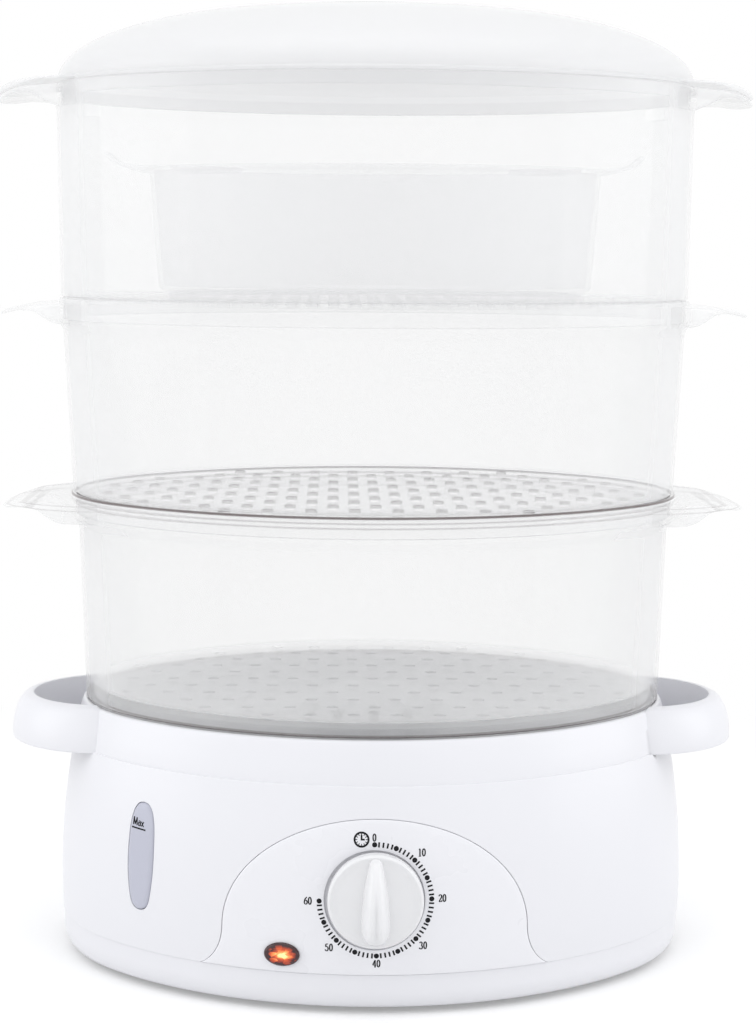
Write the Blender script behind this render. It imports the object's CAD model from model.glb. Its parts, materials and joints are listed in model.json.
"""Electric food steamer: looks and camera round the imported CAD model, in metres."""

import json
import math

import bmesh
import bpy
import numpy as np
from mathutils import Matrix, Vector
from mathutils.bvhtree import BVHTree
from mathutils.geometry import delaunay_2d_cdt
from mathutils.interpolate import poly_3d_calc


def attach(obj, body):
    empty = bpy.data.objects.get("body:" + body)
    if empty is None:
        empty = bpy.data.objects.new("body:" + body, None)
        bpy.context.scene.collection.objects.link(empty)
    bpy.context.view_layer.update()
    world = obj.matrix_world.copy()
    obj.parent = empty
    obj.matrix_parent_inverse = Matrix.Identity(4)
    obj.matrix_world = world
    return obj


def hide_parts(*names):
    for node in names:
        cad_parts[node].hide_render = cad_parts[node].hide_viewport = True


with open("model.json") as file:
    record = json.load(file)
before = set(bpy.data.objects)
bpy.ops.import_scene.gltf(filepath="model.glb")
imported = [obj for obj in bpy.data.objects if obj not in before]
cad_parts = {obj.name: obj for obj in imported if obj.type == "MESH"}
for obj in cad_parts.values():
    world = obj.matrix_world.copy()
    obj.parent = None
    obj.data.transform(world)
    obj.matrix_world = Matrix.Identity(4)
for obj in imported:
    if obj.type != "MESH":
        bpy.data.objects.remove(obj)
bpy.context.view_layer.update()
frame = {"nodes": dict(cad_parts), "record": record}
MM = 0.001

# --- camera and stage

PHOTO_H = 1024  # pixels; the photograph is 756 wide
FOCAL_PX = 2200.0
CAM_DISTANCE, CAM_HEIGHT = 0.9796, 0.3135
CAM_PITCH, CAM_YAW, CAM_ROLL = 6.899, 1.0, 0.369  # degrees
CAM_SHIFT_PX = -4.7
FILL = 0.82  # strength of the world's even light
FLOOR_LIFT = 0.22  # light that the floor adds of its own near the object
FLOOR_HALF = 8.0
WHITE_FROM_TO = 0.2, 0.55  # metres from the middle over which the floor turns white
LAMP_REACH, LAMP_LEVEL, LAMP_TALL = 1.6, 0.55, 1.9
SIDE_LAMPS = (("softbox", 34, 1.25, 0.34), ("side_light", 78, 1.1, 1.2))  # degrees, width, radiance
OBJECT_MIDDLE = Vector((0, 0, 0.2))


def new_object(name, data):
    obj = bpy.data.objects.new(name, data)
    bpy.context.scene.collection.objects.link(obj)
    return obj


def make_camera():
    data = bpy.data.cameras.new("camera")
    data.sensor_width = 36.0
    data.lens = FOCAL_PX / PHOTO_H * data.sensor_width
    data.shift_x = -CAM_SHIFT_PX / PHOTO_H
    data.clip_start, data.clip_end = 0.05, 50
    cam = new_object("camera", data)
    yaw = math.radians(CAM_YAW)
    spot = (-CAM_DISTANCE * math.sin(yaw), -CAM_DISTANCE * math.cos(yaw), CAM_HEIGHT)
    cam.matrix_world = (Matrix.Translation(spot) @ Matrix.Rotation(-yaw, 4, "Z")
                        @ Matrix.Rotation(math.radians(90 - CAM_PITCH), 4, "X")
                        @ Matrix.Rotation(math.radians(CAM_ROLL), 4, "Z"))
    bpy.context.scene.camera = cam


def area_lamp(name, place, size, radiance):
    """Rectangular lamp that faces the object's middle."""
    data = bpy.data.lights.new(name, "AREA")
    data.shape = "RECTANGLE"
    data.size, data.size_y = size
    data.energy = radiance * math.pi * size[0] * size[1]
    lamp = new_object(name, data)
    turn = (OBJECT_MIDDLE - Vector(place)).to_track_quat("-Z", "Y")
    lamp.matrix_world = Matrix.Translation(place) @ turn.to_matrix().to_4x4()


class Nodes:
    """Node tree of a material or world, with short calls to add nodes."""

    def __init__(self, owner, empty=False):
        owner.use_nodes = True
        self.tree = owner.node_tree
        if empty:
            self.tree.nodes.clear()
        self.shader = self.tree.nodes.get("Principled BSDF")

    def put(self, socket, value):
        """Links an output to a socket, or sets the socket's own value."""
        if isinstance(value, bpy.types.NodeSocket):
            self.tree.links.new(value, socket)
        else:
            socket.default_value = value

    def add(self, kind, *values, out=0, **named):
        """Adds a node and returns one of its outputs.

        Plain values fill its sockets in order. Of the named ones, those that start with a
        capital are sockets, and the others are the node's settings.
        """
        node = self.tree.nodes.new("ShaderNode" + kind)
        for key, value in named.items():
            if key.islower():
                setattr(node, key, value)
            else:
                self.put(node.inputs[key.replace("_", " ")], value)
        for socket, value in zip(node.inputs, values):
            self.put(socket, value)
        return node.outputs[out] if node.outputs else None


def seen_rays(tree):
    """1 where a camera, glossy or transmission ray looks, else 0."""
    ray = tree.add("LightPath").node.outputs
    either = tree.add("Math", ray["Is Camera Ray"], ray["Is Glossy Ray"], operation="MAXIMUM")
    return tree.add("Math", either, ray["Is Transmission Ray"], operation="MAXIMUM")


def make_world():
    world = bpy.data.worlds.new("world")
    bpy.context.scene.world = world
    tree = Nodes(world, empty=True)
    fill = tree.add("Background", (0.97, 0.98, 1, 1), FILL)
    seen = tree.add("Background", (1, 1, 1, 1), 1.0)
    tree.add("OutputWorld", tree.add("MixShader", seen_rays(tree), fill, seen))


def make_floor():
    """Pale floor that turns to plain white away from the object, and keeps its shadow."""
    mesh = bpy.data.meshes.new("floor")
    corners = [(-1, -1), (1, -1), (1, 1), (-1, 1)]
    mesh.from_pydata([(x * FLOOR_HALF, y * FLOOR_HALF, 0) for x, y in corners], [], [(0, 1, 2, 3)])
    floor = new_object("floor", mesh)
    mat = bpy.data.materials.new("floor")
    tree = Nodes(mat, empty=True)
    plain = tree.add("BsdfDiffuse", (0.8, 0.8, 0.8, 1))
    near = tree.add("AddShader", plain, tree.add("Emission", Strength=FLOOR_LIFT))
    white = tree.add("Emission", Strength=1.0)
    where = tree.add("TexCoord", out="Object")
    length = tree.add("VectorMath", where, operation="LENGTH", out="Value")
    fade = tree.add("MapRange", length, *WHITE_FROM_TO, interpolation_type="SMOOTHSTEP")
    shown = tree.add("MixShader", fade, near, white)
    tree.add("OutputMaterial", tree.add("MixShader", seen_rays(tree), plain, shown))
    mesh.materials.append(mat)


make_camera()
make_world()
make_floor()
for name, degrees, wide, radiance in SIDE_LAMPS:
    for side in (-1, 1):
        angle = math.radians(degrees) * side
        area_lamp("%s_%s" % (name, "left" if side < 0 else "right"),
                  (LAMP_REACH * math.sin(angle), -LAMP_REACH * math.cos(angle), LAMP_LEVEL),
                  (wide, LAMP_TALL), radiance)
area_lamp("top_light", (0, -0.1, 1.9), (1.6, 1.6), 1.0)
bpy.context.scene.view_settings.view_transform = "Standard"
bpy.context.scene.cycles.transparent_max_bounces = 48  # each clear wall has two faces

# --- materials

GRAIN_SCALE, GRAIN_DEPTH, CLOUD_SCALE = 900, 0.0004, 35
FACING_BLEND = 0.3
TIER_STEPS = [(113.9, 0.45, 1.0), (204.8, 0.45, 1.0), (202.4, 0.25, 0.45), (200.4, 0.25, 0.45)]
STEP_COLOR, STEP_ALPHA = (0.16, 0.13, 0.13), 0.5
TABS_FROM, TABS_TO, TAB_ALPHA = 129, 134, 0.3
LAMP_X, LAMP_Z, LAMP_W, LAMP_H = -38.0, 25.5, 7.5, 4.9
FACET_SCALE, FACET_SHARE, GLOW = 3.2, 0.45, 0.48
MATERIALS = {}


def plastic(name, color, rough, bump=0.02, spread=0.03, clear=None, **sockets):
    """Moulded plastic: faint clouds in the gloss and a very fine uneven surface.

    clear gives how solid a see-through wall looks face on and at a grazing angle.
    """
    mat = MATERIALS[name] = bpy.data.materials.new(name)
    tree = Nodes(mat)
    where = tree.add("TexCoord", out="Object")
    cloud = tree.add("TexNoise", where, Scale=CLOUD_SCALE, Detail=3)
    grain = tree.add("TexNoise", where, Scale=GRAIN_SCALE)
    sockets["Base_Color"] = (*color, 1)
    sockets["Roughness"] = tree.add("MapRange", cloud, 0, 1, max(rough - spread, 0), rough + spread)
    sockets["Normal"] = tree.add("Bump", Strength=bump, Distance=GRAIN_DEPTH, Height=grain)
    if clear:
        facing = tree.add("LayerWeight", FACING_BLEND, out="Facing")
        sockets["Alpha"] = tree.add("MapRange", facing, 0, 1, *clear)
    for key, value in sockets.items():
        tree.put(tree.shader.inputs[key.replace("_", " ")], value)
    return mat


def dense_steps(mat):
    """Darker lines where a clear wall steps in over the piece below, and milkier side tabs.

    TIER_STEPS has rows of height and half width, in millimetres, and strength.
    """
    tree = Nodes(mat)
    base, alpha = (tree.shader.inputs[key] for key in ("Base Color", "Alpha"))
    axes = tree.add("SeparateXYZ", tree.add("TexCoord", out="Object")).node.outputs
    line = 0.0
    for height, half, share in TIER_STEPS:
        near = tree.add("Math", axes["Z"], height * MM, half * MM, operation="COMPARE")
        line = tree.add("Math", near, share, line, operation="MULTIPLY_ADD")
    tint = tree.add("Mix", out=2, data_type="RGBA").node
    for socket, value in zip((0, 6, 7), (line, base.default_value[:], (*STEP_COLOR, 1))):
        tree.put(tint.inputs[socket], value)
    tree.put(base, tint.outputs[2])
    far = tree.add("Math", axes["X"], operation="ABSOLUTE")
    tab = tree.add("MapRange", far, TABS_FROM * MM, TABS_TO * MM, 0, TAB_ALPHA)
    wall = tree.add("Math", alpha.links[0].from_socket, tab, operation="MAXIMUM")
    tree.put(alpha, tree.add("Math", line, STEP_ALPHA, wall, operation="MULTIPLY_ADD"))


def glowing_lens(name, middle, size):
    """Amber lens lit from behind: pale in the middle, dark at the rim, in uneven facets."""
    mat = plastic(name, (0.5, 0.1, 0.03), 0.06, bump=0)
    tree = Nodes(mat)
    place = tree.add("Mapping", tree.add("TexCoord", out="Object"),
                     Scale=(1 / (size[0] * MM), 0, 1 / (size[1] * MM)),
                     Location=(-middle[0] / size[0], 0, -middle[1] / size[1]))
    facets = tree.add("TexVoronoi", place, Scale=FACET_SCALE, out="Color")
    length = tree.add("VectorMath", place, operation="LENGTH", out="Value")
    shake = tree.add("Math", facets, FACET_SHARE, length, operation="MULTIPLY_ADD")
    ramp = tree.add("ValToRGB", shake)
    stops = [(0.25, (1.0, 0.78, 0.32)), (0.5, (0.95, 0.3, 0.08)), (0.72, (0.5, 0.07, 0.02)),
             (0.95, (0.16, 0.02, 0.012)), (1.0, (0.03, 0.01, 0.012))]
    elements = ramp.node.color_ramp.elements
    while len(elements) < len(stops):
        elements.new(0.5)
    for element, (at, color) in zip(elements, stops):
        element.position, element.color = at, (*color, 1)
    tree.put(tree.shader.inputs["Base Color"], ramp)
    tree.put(tree.shader.inputs["Emission Color"], ramp)
    tree.shader.inputs["Emission Strength"].default_value = GLOW
    return mat


plastic("shell_white", (0.80, 0.80, 0.83), 0.3)
plastic("panel_white", (0.82, 0.82, 0.85), 0.28)
plastic("knob_white", (0.80, 0.80, 0.81), 0.25)
plastic("inner_white", (0.76, 0.77, 0.79), 0.45)
plastic("clear_tier", (0.92, 0.92, 0.92), 0.05, bump=0, spread=0.01, clear=(0.1, 0.62))
plastic("frosted_lid", (0.88, 0.88, 0.885), 0.3, Alpha=0.38)
plastic("rice_white", (0.95, 0.95, 0.955), 0.25, Alpha=0.22)
plastic("tray_grey", (0.74, 0.745, 0.76), 0.15, Alpha=0.55)
plastic("gauge_clear", (0.58, 0.59, 0.68), 0.2, Transmission_Weight=0.12, IOR=1.3)
glowing_lens("lamp_amber", (LAMP_X, LAMP_Z), (LAMP_W, LAMP_H))
plastic("bulb_glass", (1.0, 0.6, 0.3), 0.1, Transmission_Weight=0.9)
plastic("steel", (0.62, 0.63, 0.65), 0.3, Metallic=1.0)
plastic("heater_aluminium", (0.8, 0.8, 0.82), 0.35, Metallic=1.0)
plastic("rubber_dark", (0.012, 0.012, 0.014), 0.8, bump=0.2, Specular_IOR_Level=0.2)
plastic("seal_red", (0.5, 0.1, 0.06), 0.5)
plastic("hose_clear", (0.8, 0.8, 0.78), 0.3, Transmission_Weight=0.5)
plastic("wire_brown", (0.2, 0.1, 0.05), 0.5)
dense_steps(MATERIALS["clear_tier"])

# --- mesh tools, in millimetres

# The oval has four quarter-turn arcs; every section is an offset of it, given by its reach
ARC = 50.0  # distance from the middle to each arc's centre
SIDE = ARC * math.sqrt(2)
END_STEPS, SIDE_STEPS = 28, 44
ARC_SHARE, ARC_STEP = 0.45, 18  # of a profile's rounded corners; the step is in degrees
TINY = 1e-6
NEAR_SOURCE, SAME_WAY = 0.0002, 0.94  # how close, in metres, and parallel a source face must be


def oval_rows():
    """Centre x, centre y, own radius and angle of each step round the oval."""
    rows = []
    centres = [(ARC, 0, 0), (0, -ARC, SIDE), (-ARC, 0, 0), (0, ARC, SIDE)]
    for k, centre in enumerate(centres):
        steps = SIDE_STEPS if k % 2 else END_STEPS
        for i in range(steps):
            rows.append((*centre, math.radians(-45 + 90 * k + 90 * i / steps)))
    return np.array(rows)


OVAL = oval_rows()
ROUND = len(OVAL)


def oval_ring(reach, z):
    """Points of the oval's offset at a height."""
    cx, cy, base, angle = OVAL.T
    out = base + reach
    return np.c_[cx + out * np.cos(angle), cy + out * np.sin(angle), np.full(ROUND, z)]


def reach_at(x, y):
    """Reach of the offset that passes through a point."""
    if abs(y) < abs(x) - ARC:
        return math.hypot(abs(x) - ARC, y)
    return math.hypot(x, abs(y) + ARC) - SIDE


def smooth_profile(points):
    """Turns each corner of a closed profile of (reach, z, radius) rows into an arc.

    An arc takes up at most ARC_SHARE of a side, so that neighbours never meet.
    """
    out = []
    count = len(points)
    for i, (x, z, radius) in enumerate(points):
        here = np.array([x, z], float)
        before = np.array(points[i - 1][:2], float) - here
        after = np.array(points[(i + 1) % count][:2], float) - here
        long_a, long_b = np.linalg.norm(before), np.linalg.norm(after)
        if radius <= 0 or min(long_a, long_b) < TINY:
            out.append(here)
            continue
        before, after = before / long_a, after / long_b
        half = math.acos(max(-1, min(1, float(before @ after)))) / 2
        if half > math.radians(89):
            out.append(here)
            continue
        trim = min(radius / math.tan(half), ARC_SHARE * long_a, ARC_SHARE * long_b)
        radius = trim * math.tan(half)
        bisector = (before + after) / np.linalg.norm(before + after)
        centre = here + bisector * (radius / math.sin(half))
        turn = math.pi - 2 * half
        steps = max(2, min(8, round(math.degrees(turn) / ARC_STEP)))
        start, end = here + before * trim - centre, here + after * trim - centre
        a0 = math.atan2(start[1], start[0])
        sweep = math.atan2(end[1], end[0]) - a0
        sweep = (sweep + math.pi) % (2 * math.pi) - math.pi
        for k in range(steps + 1):
            a = a0 + sweep * k / steps
            out.append(centre + radius * np.array([math.cos(a), math.sin(a)]))
    return out


class Build:
    """Collects vertices and faces of one piece."""

    def __init__(self):
        self.verts, self.faces = [], []

    def add(self, points):
        first = len(self.verts)
        self.verts.extend([tuple(map(float, p)) for p in points])
        return list(range(first, len(self.verts)))

    def bridge(self, a, b, closed=True):
        n = len(a)
        for i in range(n if closed else n - 1):
            j = (i + 1) % n
            self.faces.append((a[i], a[j], b[j], b[i]))

    def skin(self, rings, closed=True):
        """Joins each ring to the next one."""
        for a, b in zip(rings, rings[1:]):
            self.bridge(a, b, closed)

    def cap(self, ring):
        self.faces.append(tuple(ring))

    def fan(self, ring, point):
        tip = self.add([point])[0]
        for i in range(len(ring)):
            self.faces.append((ring[i], ring[(i + 1) % len(ring)], tip))

    def done(self, name, sharp=32):
        mesh = bpy.data.meshes.new(name)
        mesh.from_pydata((np.array(self.verts) * MM).tolist(), [], self.faces)
        bm = bmesh.new()
        bm.from_mesh(mesh)
        bmesh.ops.remove_doubles(bm, verts=bm.verts, dist=TINY)
        bmesh.ops.recalc_face_normals(bm, faces=bm.faces)
        bm.to_mesh(mesh)
        bm.free()
        obj = new_object(name, mesh)
        soften(obj, sharp)
        return obj


def soften(obj, sharp):
    """Smooth shading, but for edges sharper than an angle in degrees."""
    mesh = obj.data
    mesh.polygons.foreach_set("use_smooth", [True] * len(mesh.polygons))
    mesh.set_sharp_from_angle(angle=math.radians(sharp))
    mesh.update()


def oval_sweep(name, profile):
    """Closed profile of (reach, z) points swept round the oval."""
    b = Build()
    rings = [b.add(oval_ring(r, z)) for r, z in profile]
    b.skin([rings[-1], *rings])
    return b.done(name)


def prism(low, high):
    """Solid between two loops of points, to cut or join other pieces."""
    b = Build()
    rings = [b.add(low), b.add(high)]
    b.bridge(*rings)
    b.cap(rings[0][::-1])
    b.cap(rings[1])
    return b.done("block")


def oval_block(reach, low, high):
    return prism(oval_ring(reach, low), oval_ring(reach, high))


def circle(cx, cy, r, z, steps=24):
    angles = [2 * math.pi * i / steps for i in range(steps)]
    return [(cx + r * math.cos(a), cy + r * math.sin(a), z) for a in angles]


def tube(start, end, r, steps=32):
    """Plain cylinder from one point to another."""
    start, end = Vector(start), Vector(end)
    turn = (end - start).to_track_quat("Z", "X")
    rim = [turn @ Vector(p) for p in circle(0, 0, r, 0, steps)]
    return prism([start + p for p in rim], [end + p for p in rim])


def brick(low, high):
    (x0, y0, z0), (x1, y1, z1) = low, high
    return prism(*([(x0, y0, z), (x1, y0, z), (x1, y1, z), (x0, y1, z)] for z in (z0, z1)))


def holed_floor(b, ring, z, holes, steps=20):
    """Fills a flat ring of vertices, leaving round holes. Returns the holes' rings."""
    flat = [Vector(b.verts[i][:2]) for i in ring]
    edges = [(i, (i + 1) % len(flat)) for i in range(len(flat))]
    hole_rings = []
    for x, y, r in holes:
        first = len(flat)
        loop = circle(x, y, r, z, steps)
        flat.extend(Vector(p[:2]) for p in loop)
        edges.extend((first + i, first + (i + 1) % steps) for i in range(steps))
        hole_rings.append(b.add(loop))
    index = list(ring) + [i for loop in hole_rings for i in loop]
    verts, _, tris, source = delaunay_2d_cdt(flat, edges, [], 1, 1e-5)[:4]
    for tri in tris:
        middle = sum((verts[i] for i in tri), Vector((0, 0))) / len(tri)
        if not any((middle.x - x) ** 2 + (middle.y - y) ** 2 < r * r for x, y, r in holes):
            b.faces.append(tuple(index[source[i][0]] for i in tri))
    return hole_rings


def oval_pan(name, profile, holes=()):
    """Profile from the floor's upper face, out and over the rim, to its lower face."""
    b = Build()
    rings = [b.add(oval_ring(r, z)) for r, z in profile]
    b.skin(rings)
    upper = holed_floor(b, rings[0], profile[0][1], holes)
    lower = holed_floor(b, rings[-1], profile[-1][1], holes)
    for a, c in zip(upper, lower):
        b.bridge(a, c)
    return b.done(name)


def revolve(name, profile, to_space=lambda *point: point, steps=96):
    """Closed profile of (radius, height) points turned about the axis, then put in place."""
    b = Build()
    rings = [b.add([to_space(x, y, h) for x, y, _ in circle(0, 0, r, 0, steps)]) if r > TINY
             else b.add([to_space(0, 0, h)]) for r, h in profile]
    for last, ring in zip([rings[-1]] + rings, rings):
        if len(last) > 1 and len(ring) > 1:
            b.bridge(last, ring)
        elif len(last) > 1 or len(ring) > 1:
            wide, tip = (last, ring[0]) if len(last) > 1 else (ring, last[0])
            b.faces.extend((wide[k], wide[(k + 1) % steps], tip) for k in range(steps))
    return b.done(name)


def surfaces(objs):
    """Each mesh's faces with the smooth normal at every corner, to look up later."""
    out = []
    for obj in objs:
        mesh = obj.data
        verts = [v.co.copy() for v in mesh.vertices]
        polys = [tuple(p.vertices) for p in mesh.polygons]
        corner = [n.vector.copy() for n in mesh.corner_normals]
        starts = [p.loop_start for p in mesh.polygons]
        out.append((BVHTree.FromPolygons(verts, polys), verts, polys, corner, starts))
    return out


def keep_normals(mesh, sources):
    """Gives a cut or joined mesh the smooth normals of the surfaces that it is made of."""
    normals = [Vector()] * len(mesh.loops)
    for poly in mesh.polygons:
        best = None
        for source in sources:
            _, normal, face, distance = source[0].find_nearest(poly.center, NEAR_SOURCE)
            if normal is None or abs(normal.dot(poly.normal)) < SAME_WAY:
                continue
            if best is None or distance < best[0]:
                best = (distance, source, face, 1 if normal.dot(poly.normal) > 0 else -1)
        if best is None:
            continue
        _, (_, verts, polys, corner, starts), face, sign = best
        points = [verts[i] for i in polys[face]]
        for loop in poly.loop_indices:
            weights = poly_3d_calc(points, mesh.vertices[mesh.loops[loop].vertex_index].co)
            normal = Vector()
            for k, weight in enumerate(weights):
                normal += corner[starts[face] + k] * (weight * sign)
            if normal.length > 0.2:
                normals[loop] = normal.normalized()
    mesh.normals_split_custom_set(normals)


def combine(obj, others, operation, sharp=32):
    """Joins or cuts obj with others, which are used up, and gives it back."""
    sources = surfaces([obj, *others])
    for other in others:
        mod = obj.modifiers.new("combine", "BOOLEAN")
        mod.operation, mod.solver, mod.object = operation, "EXACT", other
    graph = bpy.context.evaluated_depsgraph_get()
    mesh = bpy.data.meshes.new_from_object(obj.evaluated_get(graph))
    obj.modifiers.clear()
    obj.data = mesh
    for other in others:
        bpy.data.objects.remove(other)
    soften(obj, sharp)
    keep_normals(mesh, sources)
    return obj


def join(obj, *others, sharp=32):
    return combine(obj, others, "UNION", sharp)


def cut(obj, *others):
    return combine(obj, others, "DIFFERENCE")


def turned(obj):
    """A copy of an object, half a turn round the vertical axis."""
    mesh = obj.data.copy()
    mesh.transform(Matrix.Rotation(math.pi, 4, "Z"))
    return new_object(obj.name + "_turned", mesh)


def piece(obj, body, slot, *nodes):
    """Gives a finished piece its material, slot, body and the nodes that it stands for."""
    obj.data.materials.clear()
    obj.data.materials.append(MATERIALS[slot])
    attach(obj, body)
    if nodes:
        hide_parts(*nodes)

# --- clear tiers

# Rows give one value for each tier, from the lowest
CLEAR_WALL = 1.8
FLOOR = 2.0
TIER_SEAT = (111.6, 196, 281)
TIER_LOW = (78.6, 83.6, 88.2)
TIER_HIGH = (81.2, 87.2, 89.2)
TIER_SKIRT = (77.2, 82.3, 87)
RIM_REACH = (84.4, 89, 90)
RIM_Z = (205.3, 290.3, 382)
TIER_STEP = (113.7, RIM_Z[0] + 0.5, RIM_Z[1] + 0.5)
TIER_FLOOR = (117, 203.5, 288.5)
HOLE_PITCH = 18
HOLE_R = 2.5
TAB_CENTRE, TAB_R = 115, 50
# Upper and lower side of the tabs: x, and z from the rim
TAB_TOP = [(60, -1.8), (126, -1.8), (150, -2.6), (162, -5.2), (165, -6.4)]
TAB_UNDER = [(60, -10.6), (134, -10.6), (140, -8.6), (146.5, -5.2), (152, -5.1), (162.5, -7.2),
             (165, -7.6)]
LID_TAB_TOP = [(60, 1.6), (126, 1.6), (150, 0.8), (162, -2), (165, -3.4)]
LID_TAB_UNDER = [(60, 0.05), (141.5, 0.05), (150, -1.6), (162.5, -4.2), (165, -4.6)]


def flow(points, x):
    """Smooth curve through rows of (x, z), without overshoot."""
    xs, zs = np.array(points, float).T
    step = np.diff(zs) / np.diff(xs)
    slope = np.zeros(len(xs))
    inner = step[:-1] * step[1:] > 0
    slope[1:-1][inner] = 2 / (1 / step[:-1][inner] + 1 / step[1:][inner])
    slope[-1] = step[-1]
    k = int(np.clip(np.searchsorted(xs, x) - 1, 0, len(xs) - 2))
    span = xs[k + 1] - xs[k]
    t = min(max((x - xs[k]) / span, 0), 1)
    return float(
        (2 * t**3 - 3 * t**2 + 1) * zs[k] + (t**3 - 2 * t**2 + t) * span * slope[k]
        + (3 * t**2 - 2 * t**3) * zs[k + 1] + (t**3 - t**2) * span * slope[k + 1]
    )


def leaf(name, top, under, z, inside, centre=TAB_CENTRE, r=TAB_R, edge=0.9):
    """Thin plate with a round outline and a soft edge, cut clear of the oval inside it."""
    b = Build()
    shares = [0.25, 0.45, 0.6, 0.7, 0.78, 0.84, 0.89, 0.93, 0.96, 1 - edge / r]
    shares += [1 - edge / r * k for k in (0.72, 0.45, 0.22, 0.07)]

    def ring(share, side):
        round_off = max(0.0, (share - (1 - edge / r)) * r / edge)
        thick = math.sqrt(max(0.0, 1 - round_off**2))
        rows = []
        for x, y, _ in circle(centre, 0, r * share, 0, 96):
            high, low = flow(top, x), flow(under, x)
            middle, half = (high + low) / 2, (high - low) / 2 * thick
            rows.append((x, y, z + middle + side * half))
        return b.add(rows)

    upper = [ring(s, 1) for s in shares]
    lower = [ring(s, -1) for s in shares]
    outer = ring(1.0, 0)
    for rings in (upper, lower):
        b.skin([*rings, outer])
        b.fan(rings[0], (centre, 0, b.verts[rings[0][0]][2]))
    return cut(b.done(name), oval_block(inside, z - 30, z + 30))


def steam_holes(reach):
    row = HOLE_PITCH * math.sin(math.radians(60))
    holes = []
    for j in range(-5, 6):
        for i in range(-8, 9):
            x, y = (i + (abs(j) % 2) / 2) * HOLE_PITCH, j * row
            if reach_at(x, y) < reach:
                holes.append((x, y, HOLE_R))
    return holes


def tier(name, i):
    low, high, top = TIER_LOW[i], TIER_HIGH[i], RIM_Z[i]
    last = i == 2
    ledge = top - 6 if last else TIER_SEAT[i + 1]
    rim_in = high - CLEAR_WALL if last else TIER_SKIRT[i + 1] + 0.35
    floor = TIER_FLOOR[i]
    flat = TIER_SKIRT[i] - CLEAR_WALL - 6
    profile = [(flat, floor + FLOOR, 0), (low - CLEAR_WALL - 0.2, floor + FLOOR, 3.2),
               (high - CLEAR_WALL, ledge - 4, 2)]
    if not last:
        profile += [(high - CLEAR_WALL, ledge, 0.4), (rim_in, ledge, 0.3)]
    profile += [
        (rim_in, top, 0.6), (RIM_REACH[i], top, 0.8), (RIM_REACH[i], ledge - 1.4, 1.2),
        (high, ledge - 5, 1.5), (low, TIER_STEP[i] + 0.4, 0.5), (TIER_SKIRT[i], TIER_STEP[i], 0.4),
        (TIER_SKIRT[i], TIER_SEAT[i], 0.5), (TIER_SKIRT[i] - CLEAR_WALL, TIER_SEAT[i], 0.5),
        (TIER_SKIRT[i] - CLEAR_WALL, floor, 0.6), (flat, floor, 0),
    ]
    bowl = oval_pan(name + "_clear", smooth_profile(profile), steam_holes(TIER_SKIRT[i] - 10))
    tab = leaf(name + "_tab", TAB_TOP, TAB_UNDER, top, RIM_REACH[i] - 0.9)
    join(bowl, tab, turned(tab))
    piece(bowl, name, "clear_tier", name)


for number, body in enumerate(("lower_bowl", "middle_bowl", "upper_bowl")):
    tier(body, number)

# --- lid

DOME_A, DOME_H, DOME_REACH = 134.5, 35.3, 88.5
EDGE_Z = RIM_Z[2]
CROWN_FROM = 14.0


def dome_z(reach, a=DOME_A, h=DOME_H):
    """Height of the dome at a reach: an ellipse that flattens to the crown."""
    def ellipse(r):
        c = min(1.0, (r + DOME_A - DOME_REACH) / a)
        return EDGE_Z + 2 + h * math.sqrt(1 - c * c)
    if reach >= CROWN_FROM:
        return ellipse(reach)
    slope = (ellipse(CROWN_FROM) - ellipse(CROWN_FROM + 0.01)) / 0.01
    fall = CROWN_FROM - max(reach, 0)
    return ellipse(CROWN_FROM) + slope * (fall - fall**2 / (2 * CROWN_FROM))


def make_lid():
    inner_a, inner_h = DOME_A - CLEAR_WALL, DOME_H - CLEAR_WALL - 0.1
    inner_reach = DOME_REACH - CLEAR_WALL
    steps = [math.sin(math.radians(90) * k / 34) for k in range(35)]
    outer = [(DOME_REACH * s, dome_z(DOME_REACH * s)) for s in steps][:-1]
    inner = [(inner_reach * s, dome_z(inner_reach * s, inner_a, inner_h)) for s in steps][:-1]
    edge = smooth_profile([
        (*outer[-1], 0), (DOME_REACH + 0.1, EDGE_Z + 1.6, 0.8), (RIM_REACH[2], EDGE_Z + 1.4, 0.5),
        (RIM_REACH[2], EDGE_Z, 0.3), (86.9, EDGE_Z, 0.2), (86.9, EDGE_Z - 5.6, 0.5),
        (85.2, EDGE_Z - 5.6, 0.5), (inner_reach - 1.4, EDGE_Z, 1), (*inner[-1], 0),
    ])[1:-1]
    profile = outer + [tuple(p) for p in edge] + inner[::-1]
    lid = oval_pan("lid_dome", profile, [(x, 0, 1.8) for x in range(-30, 31, 12)])
    tab = leaf("lid_tab", LID_TAB_TOP, LID_TAB_UNDER, EDGE_Z, 87.2)
    join(lid, tab, turned(tab))
    piece(lid, "lid", "frosted_lid", "lid")


make_lid()

# --- rice bowl


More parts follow.
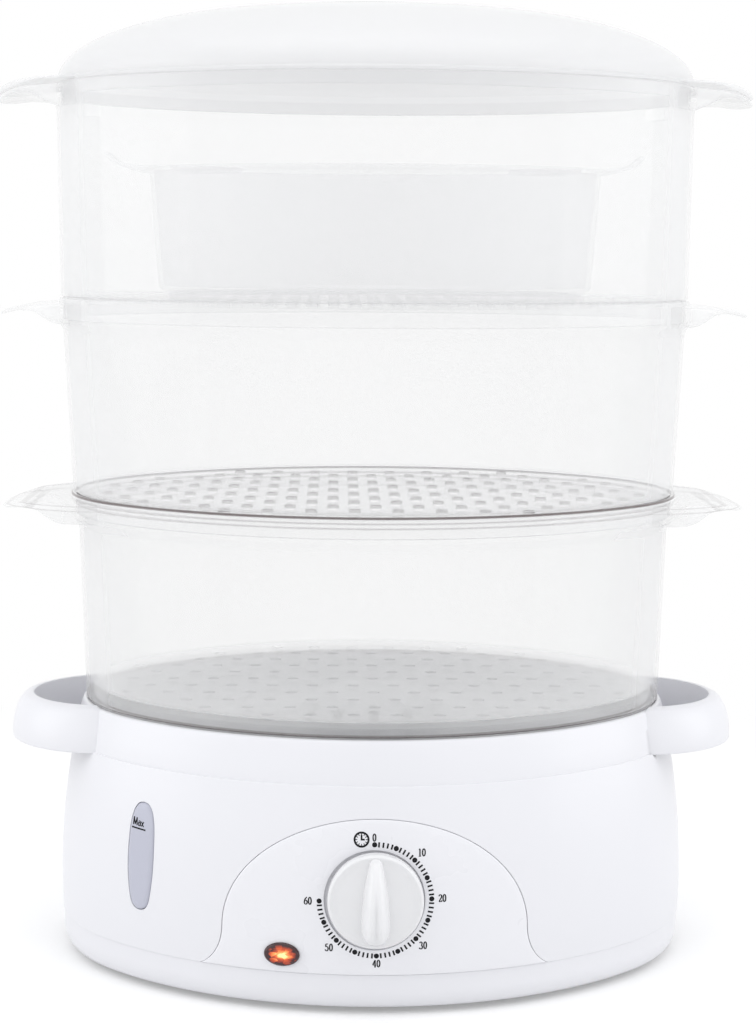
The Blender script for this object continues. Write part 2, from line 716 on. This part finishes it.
def make_rice_bowl():
    low, rim, foot, top = 45.5, 49.5, 290.5, 347
    grip_tip, grip_x = 118.5, 98.0
    flat = low - 8
    profile = smooth_profile([
        (flat, foot + 4.8, 0), (low - CLEAR_WALL - 0.3, foot + 4.8, 4), (rim - 2.2, top - 2.4, 1),
        (rim - 0.6, top, 0.8), (rim + 1.8, top, 0.6), (rim + 1.6, top - 1.6, 0.5),
        (rim - 0.4, top - 2.6, 0.8), (low, foot + 4.5, 3), (low - 3, foot + 2, 0.8),
        (low - 3, foot, 0.5), (low - 4.8, foot, 0.5), (low - 4.8, foot + 2.8, 0.5),
        (flat, foot + 2.8, 0),
    ])
    bowl = oval_pan("rice_bowl_shell", profile)
    width = grip_tip - grip_x

    def curl(rx, ry):
        rows = [(50, top + 7.6 - ry), (grip_x, top + 7.6 - ry)]
        for k in range(1, 13):
            x = grip_x + (width - 0.2) * k / 12
            rows.append((x, top + 7.6 - ry * math.sqrt(max(0.02, 1 - ((x - grip_x) / rx) ** 2))))
        return rows

    grip = leaf("rice_grip", curl(width - 1.6, 7.6), curl(width, 9.4), 0, rim - 0.8,
                centre=grip_tip - 30, r=30, edge=0.8)
    join(bowl, grip, turned(grip))
    piece(bowl, "rice_bowl", "rice_white", "rice_bowl")


make_rice_bowl()

# --- base

BELLY_REACH, BELLY_Z, BELLY_R = 90.0, 33.0, 320.0
CREASE_LOW, CREASE_HIGH = 17.5, 95.0
SHELL_WALL = 2.5
LIP_Z, LIP_IN, LEDGE_Z = 113.0, 78.1, 108.0
SCOOP_X, SCOOP_R, SCOOP_FLOOR, SCOOP_TOP = 117.0, 35.0, 99.0, 114.0
PANEL_RISE, PANEL_BACK, PANEL_GAP = 0.45, -1.1, 0.25
ARCH_W, ARCH_H, ARCH_Z, FOOT_SPREAD = 63.0, 47.0, 35.0, 14.0
KNOB_Z, KNOB_R, KNOB_BACK = 50.0, 19.6, -111.6
KNOB_HOLE_X, KNOB_HOLE_Z, KNOB_GAP = -0.4, KNOB_Z - 0.9, 1.1  # the panel's hole round the knob
LAMP_LAP = 0.9  # how far the lens laps over its hole's edge
PAD_Y = -104.1
GAUGE_X, GAUGE_LOW, GAUGE_TOP = -100.0, (39.5, 5.0), (73.5, 7.5)
GLAND_Z, GLAND_R = 22, 6.5
# Boxes at each scoop's window: middle x, half length, half width, lowest and highest z
CHUTE = 128.5, 5.5, 13.2, 97.2, SCOOP_FLOOR
WINDOW = 129.5, 7.5, 14, SCOOP_FLOOR, 104.6
NOTCH = 123.5, 5.5, 16.5, 103, 108.1


def belly(z):
    """Reach of the base's bulging side at a height."""
    return BELLY_REACH - (z - BELLY_Z) ** 2 / (2 * BELLY_R)


def spline(points, steps=4):
    """Smooth curve through a row of points."""
    pts = [np.array(p, float) for p in points]
    pts = [2 * pts[0] - pts[1]] + pts + [2 * pts[-1] - pts[-2]]
    out = []
    for a, b, c, d in zip(pts, pts[1:], pts[2:], pts[3:]):
        for k in range(steps):
            t = k / steps
            out.append(0.5 * (2 * b + (c - a) * t + (2 * a - 5 * b + 4 * c - d) * t**2
                              + (3 * b - a - 3 * c + d) * t**3))
    out.append(pts[-2])
    return [tuple(p) for p in out]


def unrounded(points):
    """Profile rows whose corners stay as they are."""
    return [(x, z, 0) for x, z in points]


def on_front(x, z, rise):
    """Point on the bulging front, pushed out by rise."""
    return x, -(math.sqrt((SIDE + belly(z) + rise) ** 2 - x * x) - ARC), z


def at_front(x, points):
    """Moves (across, up, outward) points to the front side at x, square to it there."""
    turn = math.asin(x / (SIDE + BELLY_REACH))
    c, s = math.cos(turn), math.sin(turn)
    out = []
    for u, v, w in points:
        y = -(SIDE + BELLY_REACH) - w
        out.append((c * u - s * y, s * u + c * y + ARC, v))
    return out


def ellipse(cx, cz, rx, rz, start, end, steps=14):
    """Points along an ellipse between two angles in degrees."""
    angles = [math.radians(start + (end - start) * i / steps) for i in range(steps + 1)]
    return [(cx + rx * math.cos(a), cz + rz * math.sin(a)) for a in angles]


def panel_outline(grow):
    """The arch and its spreading feet, from the right foot round to the left one."""
    low = CREASE_LOW + 0.2 - grow
    foot_h = ARCH_Z - (CREASE_LOW - 1)
    start = -180 + math.degrees(math.asin((ARCH_Z - low) / foot_h))
    right = ellipse(ARCH_W + FOOT_SPREAD + grow, ARCH_Z, FOOT_SPREAD, foot_h, start, -180, 18)
    arch = ellipse(0, ARCH_Z, ARCH_W + grow, ARCH_H + grow, 0, 180, 72)
    outline = right[:-1] + arch + [(-x, z) for x, z in right[-2::-1]]
    foot = outline[0][0]
    return outline + [(x, low) for x in np.linspace(-foot, foot, 49)[1:-1].tolist()]


def inside(point, loop):
    """Whether a point lies inside a closed loop."""
    x, y = point
    hit = False
    for (x0, y0), (x1, y1) in zip(loop, loop[1:] + loop[:1]):
        if (y0 > y) != (y1 > y) and x < (x1 - x0) * (y - y0) / (y1 - y0) + x0:
            hit = not hit
    return hit


def sheet(b, loops, points, to_space):
    """Fills the first loop, less the others, with even triangles. Loops are (index, 2D) rows."""
    flat, edges, index = [], [], []
    for ring, outline in loops:
        first, n = len(flat), len(outline)
        flat.extend(Vector(p) for p in outline)
        index.extend(ring)
        edges.extend((first + i, first + (i + 1) % n) for i in range(n))
    flat.extend(Vector(p) for p in points)
    index.extend(b.add([to_space(*p) for p in points]))
    verts, _, tris, source = delaunay_2d_cdt(flat, edges, [], 0, 1e-5)[:4]
    outer = loops[0][1]
    for tri in tris:
        middle = sum((verts[i] for i in tri), Vector((0, 0))) / len(tri)
        if not inside(middle, outer) or any(inside(middle, o) for _, o in loops[1:]):
            continue
        b.faces.append(tuple(index[source[i][0]] for i in tri))


def grid_inside(outer, holes, pitch=3.0, clear=1.3):
    """Grid points inside a loop, clear of its edge and of the holes."""
    loops = [np.array(o) for o in [outer, *holes]]
    xs, zs = loops[0].T
    out = []
    for j, z in enumerate(np.arange(zs.min() + pitch / 2, zs.max(), pitch)):
        for x in np.arange(xs.min() + (j % 2) * pitch / 2, xs.max(), pitch):
            near = min(np.min(np.hypot(*(o - (x, z)).T)) for o in loops)
            if near > clear and inside((x, z), outer) and not any(inside((x, z), h) for h in holes):
                out.append((float(x), float(z)))
    return out


def front_plate(name, low, high, grow, holes=(), edge=0.0):
    """Plate that follows the bulging front, between two rises, with a rounded outer edge."""
    b = Build()
    turns = [math.radians(a) for a in ((0, 25, 45, 65, 90) if edge else (0,))]
    outlines = [panel_outline(grow - edge * (1 - math.cos(a))) for a in turns]
    heights = [low] + [high - edge * (1 - math.sin(a)) for a in turns]
    rings = [b.add([on_front(x, z, rise) for x, z in outline])
             for outline, rise in zip([outlines[0]] + outlines, heights)]
    b.skin(rings)
    hole_rings = []
    for rise, ring, outline in ((low, rings[0], outlines[0]), (high, rings[-1], outlines[-1])):
        hole_rings.append([b.add([on_front(x, z, rise) for x, z in hole]) for hole in holes])
        loops = [(ring, outline), *zip(hole_rings[-1], holes)]
        sheet(b, loops, grid_inside(outline, holes), lambda x, z: on_front(x, z, rise))
    for a, c in zip(*hole_rings):
        b.bridge(a, c)
    return b.done(name)


def lamp_ring(grow, w):
    """The lamp's outline, grown, at a distance out from the front."""
    outline = ellipse(0, LAMP_Z, LAMP_W + grow, LAMP_H + grow, 0, 360, 48)[:-1]
    return at_front(LAMP_X, [(u, v, w) for u, v in outline])


def gauge_block(name, grow, low, high):
    """Solid with the outline of the gauge's tube, grown, between two depths."""
    (low_z, low_r), (top_z, top_r) = GAUGE_LOW, GAUGE_TOP
    # The sides are tangents to both circles
    lean = math.degrees(math.asin((top_r - low_r) / (top_z - low_z)))
    outline = (ellipse(0, top_z, top_r + grow, top_r + grow, -lean, 180 + lean, 24)
               + ellipse(0, low_z, low_r + grow, low_r + grow, 180 + lean, 360 - lean, 24))
    return gauge_solid(name, [(outline, low), (outline, high)])


LENS_BACK, LENS_FRONT, LENS_X = -1.4, 0.8, 1.2
LENS_EDGE = 2.2, 1.2  # how far its rounded edge reaches inward and back
LENS_HALF = [(35.1, 0), (35.5, 2), (37, 3.9), (40, 5.2), (45.7, 6.2), (51, 6.8), (57, 7.05),
             (64.8, 6.9), (70.5, 6.5), (74.9, 5.6), (77.8, 4.4), (79.8, 2.5), (80.4, 0)]


def lens_outline(grow):
    """Outline of the gauge's window: widest below the middle, round at both ends."""
    side = np.array(spline([(half, z) for z, half in LENS_HALF], 3))
    along = np.gradient(side, axis=0)
    out = np.c_[along[:, 1], -along[:, 0]] / np.hypot(*along.T)[:, None]
    out[0], out[-1] = (0, -1), (0, 1)
    side = side + out * grow
    side[[0, -1], 0] = 0
    loop = np.r_[side, side[-2:0:-1] * (-1, 1)] + (LENS_X, 0)
    return [tuple(p) for p in loop.tolist()]


def gauge_front(u, v, rise):
    """How far outward of the flat at the gauge the bulging side stands."""
    side = math.sqrt((SIDE + belly(v) + rise) ** 2 - u * u)
    return side - (SIDE + BELLY_REACH)


def gauge_solid(name, rows):
    """Solid through rows of (outline, depth): a deep one lies flat, the others follow the side."""
    b = Build()

    def place(u, v, depth):
        return at_front(GAUGE_X, [(u, v, depth if depth < -5 else gauge_front(u, v, depth))])[0]

    rings = [b.add([place(u, v, depth) for u, v in outline]) for outline, depth in rows]
    b.skin(rings)
    for k in (0, -1):
        outline, depth = rows[k]
        sheet(b, [(rings[k], outline)], grid_inside(outline, [], 2.5, 1.0),
              lambda u, v, depth=depth: place(u, v, depth))
    return b.done(name)


def at_both_ends(x, half_x, half_y, low, high):
    return [brick((s * x - half_x, -half_y, low), (s * x + half_x, half_y, high))
            for s in (-1, 1)]


def make_housing():
    lowest = spline([(84.3, 2.5), (86.9, 3.5), (88.3, 5.6), (89.05, 9), (89.05, 13),
                     (belly(CREASE_LOW) - 0.6, CREASE_LOW - 0.1)])
    side = [(belly(z), z) for z in np.linspace(CREASE_LOW + 0.5, CREASE_HIGH - 0.5, 22)]
    lip = spline([(belly(CREASE_HIGH) - 0.5, CREASE_HIGH + 0.5), (82.75, 101), (81.6, 106.5),
                  (80.55, 110.6), (79.7, 112.4), (78.8, 113)])
    inner = [(belly(z) - SHELL_WALL, z) for z in np.linspace(CREASE_HIGH, CREASE_LOW, 10)]
    profile = smooth_profile(
        unrounded(lowest) + [(belly(CREASE_LOW), CREASE_LOW + 0.1, 0.25)] + unrounded(side)
        + [(belly(CREASE_HIGH), CREASE_HIGH, 0.2), (belly(CREASE_HIGH) - 0.5, CREASE_HIGH + 0.1, 0)]
        + unrounded(lip)
        + [(LIP_IN, LIP_Z, 0.4), (LIP_IN, LEDGE_Z, 0.3), (LIP_IN - 2.5, LEDGE_Z, 0.4),
           (LIP_IN - 2.5, LEDGE_Z - 1.6, 0.4), (79, LEDGE_Z - 3.4, 0.5)]
        + unrounded(inner) + [(86.5, 10, 0), (84.3, 6.3, 0)]
    )
    housing = oval_sweep("housing", profile)
    scoop = smooth_profile(
        [(0, SCOOP_FLOOR, 0), (SCOOP_R, SCOOP_FLOOR, 1.6), (SCOOP_R + 0.3, SCOOP_TOP - 0.2, 0.3),
         (SCOOP_R + 1.2, SCOOP_TOP, 0.8)]
        + unrounded(ellipse(37, 96, 8, 17.7, 78, 4, 16))
        + [(44.9, 94.3, 0.8), (43, 94.3, 0.5)]
        + unrounded(ellipse(37, 96, 6, 15.6, 0, 64, 10))
        + [(37.3, 111, 0.5), (37, SCOOP_FLOOR - 2, 1), (0, SCOOP_FLOOR - 2, 0)]
    )
    handles = []
    for side_x in (-1, 1):
        handle = revolve("scoop", scoop, lambda x, y, z: (side_x * SCOOP_X + x, y, z), 120)
        handles.append(cut(handle, oval_block(LIP_IN + 1.2, 85, 125)))
    pad = tube((0, PAD_Y, KNOB_Z), (0, PAD_Y - 4.6, KNOB_Z), 18, 64)
    join(housing, *handles, pad)
    cuts = [front_plate("recess", PANEL_BACK - 0.05, 6, PANEL_GAP)]
    for pair in zip(at_both_ends(*WINDOW), at_both_ends(*NOTCH)):
        cuts.extend(pair)
    cuts += [
        tube((0, PAD_Y + 1, KNOB_Z), (0, PAD_Y - 12, KNOB_Z), 6),
        prism(lamp_ring(-LAMP_LAP, -8), lamp_ring(-LAMP_LAP, 4)),
        gauge_block("seat", 1.2, -12, LENS_BACK),
        gauge_solid("window", [(lens_outline(0.3), LENS_BACK - 1), (lens_outline(0.3), 4)]),
        tube((0, 100, GLAND_Z), (0, 120, GLAND_Z), GLAND_R),
    ]
    cut(housing, *cuts)
    join(housing, *at_both_ends(*CHUTE))
    piece(housing, "base", "shell_white", "base_housing")


def make_panel():
    hole_r = KNOB_R + KNOB_GAP
    knob_hole = ellipse(KNOB_HOLE_X, KNOB_HOLE_Z, hole_r, hole_r, 0, 360, 128)[:-1]
    lamp_hole = [(x, z) for x, _, z in lamp_ring(-LAMP_LAP, 0)]
    panel = front_plate("control_panel_front", PANEL_BACK, PANEL_RISE, 0, [knob_hole, lamp_hole],
                        edge=0.5)
    piece(panel, "base", "panel_white", "control_panel")


make_housing()
make_panel()

# --- timer knob

SHAFT_R, SHAFT_FLAT = 3.03, 2.23
GRIP_FOOT, GROOVE_DEPTH, GROOVE_HALF = 4.2, 1.5, 1.15
# Place along the grip, up from the knob's middle, with its half width and its height there
GRIP_WIDTH = [(-16.6, 0.6), (-16.3, 2.4), (-15.5, 3.9), (-14, 5.1), (-11.5, 5.8), (-7, 5.9), (0, 5.4),
              (6, 4.7), (11, 3.8), (15, 2.9), (17, 2.3), (17.9, 1.6), (18.2, 0.4)]
GRIP_HEIGHT = [(-16.6, 5), (-16.3, 9), (-15.5, 12.6), (-13.8, 15.6), (-11, 17.4), (-7.5, 18), (0, 17.4),
               (8, 14.6), (14, 10.6), (17, 7.4), (18, 5.6), (18.2, 5)]


def make_knob():
    def out(x, z, w):
        return x, KNOB_BACK - w, KNOB_Z + z

    rim = smooth_profile(
        [(KNOB_R - 1.6, 0, 0), (KNOB_R, 0, 0.4), (KNOB_R, 3.9, 0.6), (KNOB_R - 0.8, 5.1, 0.5),
         (KNOB_R - 1.4, 5, 0.4)]
        + unrounded(spline([(KNOB_R - 2.2, 4.75), (15, 4.4), (10, 4.5), (5, 4.85), (0, 5)]))
        + [(0, 3.2, 0), (KNOB_R - 2.4, 2.6, 0.8)]
    )
    disc = revolve("knob", rim, out, 128)
    b = Build()
    across = [math.sin(math.radians(90) * k / 16) for k in range(-16, 17)]
    along = [0.8 + 17.4 * math.sin(math.radians(90) * k / 32) for k in range(-32, 33)]
    rows, lows = [], []
    for v in along:
        wide, high = flow(GRIP_WIDTH, v), flow(GRIP_HEIGHT, v)
        dip = GROOVE_DEPTH / (1 + math.exp((v - 5) / 1.8)) / (1 + math.exp((-13.6 - v) / 0.8))
        points = []
        for u in across:
            lift = (1 - abs(u) ** 3.4) ** (1 / 1.7)
            groove = dip * math.exp(-((u * wide / GROOVE_HALF) ** 2))
            points.append(out(u * wide, v, GRIP_FOOT + (high - GRIP_FOOT) * lift - groove * lift))
        rows.append(b.add(points))
        lows.append(b.add([out(u * wide, v, 4) for u in across]))
    for grid in (rows, lows):
        b.skin(grid, closed=False)
    for k in (0, -1):
        b.bridge(rows[k], lows[k], closed=False)
        b.bridge([r[k] for r in rows], [r[k] for r in lows], closed=False)
    grip = b.done("grip", 60)
    stem = tube(out(0, 0, 0.4), out(0, 0, 4), 5.4, 48)
    knob = join(disc, grip, stem, sharp=50)
    bore = tube(out(0, 0, -1), out(0, 0, 11.4), SHAFT_R, 48)
    cut(bore, brick((-5, KNOB_BACK - 20, KNOB_Z + SHAFT_FLAT), (5, KNOB_BACK + 2, KNOB_Z + 8)))
    cut(knob, bore)
    piece(knob, "timer_knob", "knob_white", "timer_knob")


make_knob()

# --- lamp and water gauge


def make_lens():
    b = Build()
    rings = []
    for grow, w in [(-1.0, -6), (-1.0, 0.4), (0, 0.5), (0.05, 0.9), (-0.1, 1.35), (-0.5, 1.75),
                    (-1.1, 2.0), (-2.0, 2.1), (-3.0, 2.12), (-4.0, 2.12)]:
        rings.append(b.add(lamp_ring(grow, w)))
    b.skin(rings)
    b.cap(rings[0][::-1])
    b.fan(rings[-1], at_front(LAMP_X, [(0, LAMP_Z, 2.12)])[0])
    piece(b.done("lamp_lens_cap"), "base", "lamp_amber", "lamp_lens")


def make_gauge():
    wall, back, under = 1.5, -14.0, LENS_BACK - 0.1
    gauge = gauge_block("gauge_window", 0, back, under)
    rows = [(lens_outline(0), under - 0.05)]
    for a in (0, 22, 45, 67, 90):
        inset = LENS_EDGE[0] * (1 - math.cos(math.radians(a)))
        drop = LENS_EDGE[1] * (1 - math.sin(math.radians(a)))
        rows.append((lens_outline(-inset), LENS_FRONT - drop))
    join(gauge, gauge_solid("lens", rows))
    cut(gauge, gauge_block("chamber", -wall, back + wall, under - 0.3))
    pipe = at_front(GAUGE_X, [(0, GAUGE_LOW[0], back - 6), (0, GAUGE_LOW[0], back + 1)])
    bore = at_front(GAUGE_X, [(0, GAUGE_LOW[0], back - 8), (0, GAUGE_LOW[0], back + 4)])
    join(gauge, tube(*pipe, 2.4, 40))
    cut(gauge, tube(*bore, 1.4))
    seal = gauge_block("gauge_seal_ring", 1.1, -3.3, -1.7)
    cut(seal, gauge_block("core", 0.05, -4, -1))
    piece(seal, "base", "rubber_dark", "gauge_seal")
    piece(gauge, "base", "gauge_clear", "water_gauge")


make_lens()
make_gauge()

# --- printed marks

INK, SUNK = 0.06, -0.03  # the ink's upper and lower face, from the surface


def directions(path):
    """Unit direction of a path at each of its points."""
    pts = np.array(path, float)
    ends = [(pts[max(i - 1, 0)], pts[min(i + 1, len(pts) - 1)]) for i in range(len(pts))]
    return [(end - start) / (np.linalg.norm(end - start) or 1) for start, end in ends]


def stroke(b, path, widths, place):
    """Ink line along a path of 2D points, put on its surface by place."""
    n = len(path)
    if np.isscalar(widths):
        widths = [widths] * n
    sides = [np.array([-along[1], along[0]]) * wide / 2
             for along, wide in zip(directions(path), widths)]
    loop = [np.add(p, s) for p, s in zip(path, sides)]
    loop += [np.subtract(p, s) for p, s in zip(path, sides)][::-1]
    upper = b.add([place(x, y, INK) for x, y in loop])
    lower = b.add([place(x, y, SUNK) for x, y in loop])
    b.bridge(upper, lower)
    for i in range(n - 1):
        j = 2 * n - 1 - i
        b.faces.append((upper[i], upper[i + 1], upper[j - 1], upper[j]))
        b.faces.append((lower[i], lower[j], lower[j - 1], lower[i + 1]))


def disc(b, x, y, r, place):
    rings = [b.add([place(px, py, w) for px, py, _ in circle(x, y, r, 0)]) for w in (INK, SUNK)]
    b.bridge(*rings)
    for ring, w in zip(rings, (INK, SUNK)):
        b.fan(ring, place(x, y, w))


def thick(path, thin, full):
    """Stroke widths of a serif letter: full where it runs upright, thin where it lies."""
    return [thin + (full - thin) * abs(along[1]) ** 1.5 for along in directions(path)]


# Strokes of each sign in a box 0.5 wide and 1 high
GLYPHS = {
    "0": [ellipse(0.25, 0.5, 0.17, 0.455, 90, 450, 28)],
    "1": [[(0.27, 0.04), (0.27, 0.96)], [(0.12, 0.86), (0.2, 0.88), (0.27, 0.97)],
          [(0.12, 0.03), (0.42, 0.03)]],
    "2": [ellipse(0.24, 0.72, 0.17, 0.235, 170, -20) + [(0.33, 0.5), (0.2, 0.28), (0.08, 0.09)],
          [(0.07, 0.06), (0.42, 0.06)], [(0.41, 0.05), (0.44, 0.22)]],
    "3": [ellipse(0.22, 0.745, 0.15, 0.21, 160, -80),
          ellipse(0.22, 0.275, 0.19, 0.25, 85, -165, 16)],
    "4": [[(0.34, 0.04), (0.34, 0.96)], [(0.33, 0.94), (0.05, 0.32)], [(0.04, 0.3), (0.47, 0.3)],
          [(0.24, 0.03), (0.44, 0.03)]],
    "5": [[(0.13, 0.93), (0.4, 0.95)], [(0.13, 0.94), (0.1, 0.56)],
          ellipse(0.22, 0.32, 0.19, 0.29, 125, -160, 18)],
    "6": [ellipse(0.25, 0.3, 0.18, 0.26, 90, 450, 26),
          [(0.4, 0.96), (0.22, 0.8), (0.1, 0.55), (0.07, 0.3)]],
    "M": [[(0.08, 0.02), (0.12, 0.96)], [(0.12, 0.96), (0.36, 0.1)], [(0.36, 0.1), (0.62, 0.96)],
          [(0.62, 0.96), (0.66, 0.02)]],
    "a": [ellipse(0.22, 0.24, 0.15, 0.22, 0, 360, 18), [(0.4, 0.5), (0.4, 0.03)],
          ellipse(0.24, 0.48, 0.16, 0.14, 20, 150, 8)],
    "x": [[(0.04, 0.6), (0.4, 0.02)], [(0.4, 0.6), (0.04, 0.02)]],
}
ADVANCE = dict.fromkeys(GLYPHS, 0.52) | {"M": 0.8, "x": 0.5}  # width of each sign and its gap


def write(b, text, x, y, high, place, thin, full, slope=0.0):
    """Writes text centred at a place, in signs of the given height."""
    long = sum(ADVANCE[sign] for sign in text)
    pen = x - long * high / 2
    for sign in text:
        for path in GLYPHS[sign]:
            run = [(pen + u * high, y + (v - 0.5) * high) for u, v in path]
            run = [(u, v + (u - x) * slope) for u, v in run]
            widths = [w * high for w in thick(path, thin, full)]
            stroke(b, run, widths, place)
        pen += ADVANCE[sign] * high


def on_panel(x, z, rise):
    return on_front(x, z, PANEL_RISE + rise)


DIAL_R, DIAL_Z, DIAL_LEAN = 22.95, KNOB_Z - 0.95, 1.2  # the lean is in degrees
DOT_R, TICK, LINE, NUMBER_HIGH = 1.05, 2.1, 0.7, 3.2
NUMBER_GAPS = (2.9, 4.2, 4.4, 4.2, 3.2, 4.3, 4.6)  # outward from the ring, for 0 to 60


def on_dial(minute, r):
    """Place at a minute of the dial and a distance from its middle."""
    a = math.radians(90 + DIAL_LEAN - minute * 4.5)
    return r * math.cos(a), DIAL_Z + r * math.sin(a)


def make_dial():
    b = Build()
    for minute in range(61):
        if minute % 5 == 0:
            disc(b, *on_dial(minute, DIAL_R), DOT_R, on_panel)
        else:
            ends = [on_dial(minute, DIAL_R + k) for k in (-TICK / 2, TICK / 2)]
            stroke(b, ends, LINE, on_panel)
    for k, gap in enumerate(NUMBER_GAPS):
        write(b, str(10 * k), *on_dial(10 * k, DIAL_R + gap), NUMBER_HIGH, on_panel, 0.1, 0.17)
    cx, cz, r = -5.8, DIAL_Z + 25, 2.85
    stroke(b, ellipse(cx, cz, r, r, 90, 450, 40), 0.8, on_panel)
    stroke(b, [(cx, cz - 0.35), (cx, cz + 1.9)], LINE, on_panel)
    stroke(b, [(cx - 0.35, cz), (cx + 1.3, cz)], LINE, on_panel)
    for k in range(12):
        a = math.radians(30 * k)
        stroke(b, [(cx + q * math.cos(a), cz + q * math.sin(a)) for q in (1.75, 2.45)], 0.3, on_panel)
    piece(b.done("dial_print"), "base", "rubber_dark")


def make_max_mark():
    b = Build()

    def place(u, v, rise):
        return at_front(GAUGE_X, [(u, v, gauge_front(u, v, LENS_FRONT) + rise)])[0]

    slope = -0.06
    stroke(b, [(-3.9, 69.7), (3.9, 69.7 + 7.8 * slope)], 0.65, place)
    write(b, "Max", -0.2, 72.3, 3.5, place, 0.07, 0.16, slope)
    piece(b.done("max_mark"), "base", "rubber_dark")


make_dial()
make_max_mark()

# --- drip tray


def make_tray():
    floor, flat, hub_r = 103.6, 60.0, 34.0
    profile = smooth_profile([
        (flat, floor, 0), (68.2, floor, 1.4), (71, 111.6, 1.2), (77.6, 111.6, 0.5),
        (77.6, 110, 0.5), (72.5, 110, 0.8), (70.6, 104, 2), (68.8, floor - 1.6, 1.2),
        (flat, floor - 1.6, 0)
    ])
    tray = oval_pan("tray", profile, [(0, 0, hub_r - 1.2)])
    hub = smooth_profile([
        (0, 113.6, 0), (25.6, 113.6, 1.5), (27, 112, 0.5), (hub_r, 104.4, 0.5), (hub_r, 102, 0.3),
        (hub_r - 1.8, 102, 0.3), (25.4, 111.3, 0.6), (24.2, 112, 0.3), (0, 112, 0)
    ])
    cap = revolve("hub", hub)
    slots = []
    for i in range(12):
        slot = brick((24, -2.5, 105.4), (38, 2.5, 110.4))
        slot.data.transform(Matrix.Rotation(math.radians(30 * i), 4, "Z"))
        slots.append(slot)
    cut(cap, *slots)
    join(tray, cap)
    piece(tray, "drip_tray", "tray_grey", "drip_tray")


make_tray()

# --- CAD nodes that stay, and the end

slots = {part["node"]: part["material_slot"] for part in frame["record"]["subparts"]}
for name, node in frame["nodes"].items():
    node.data.materials.clear()
    node.data.materials.append(MATERIALS[slots[name]])
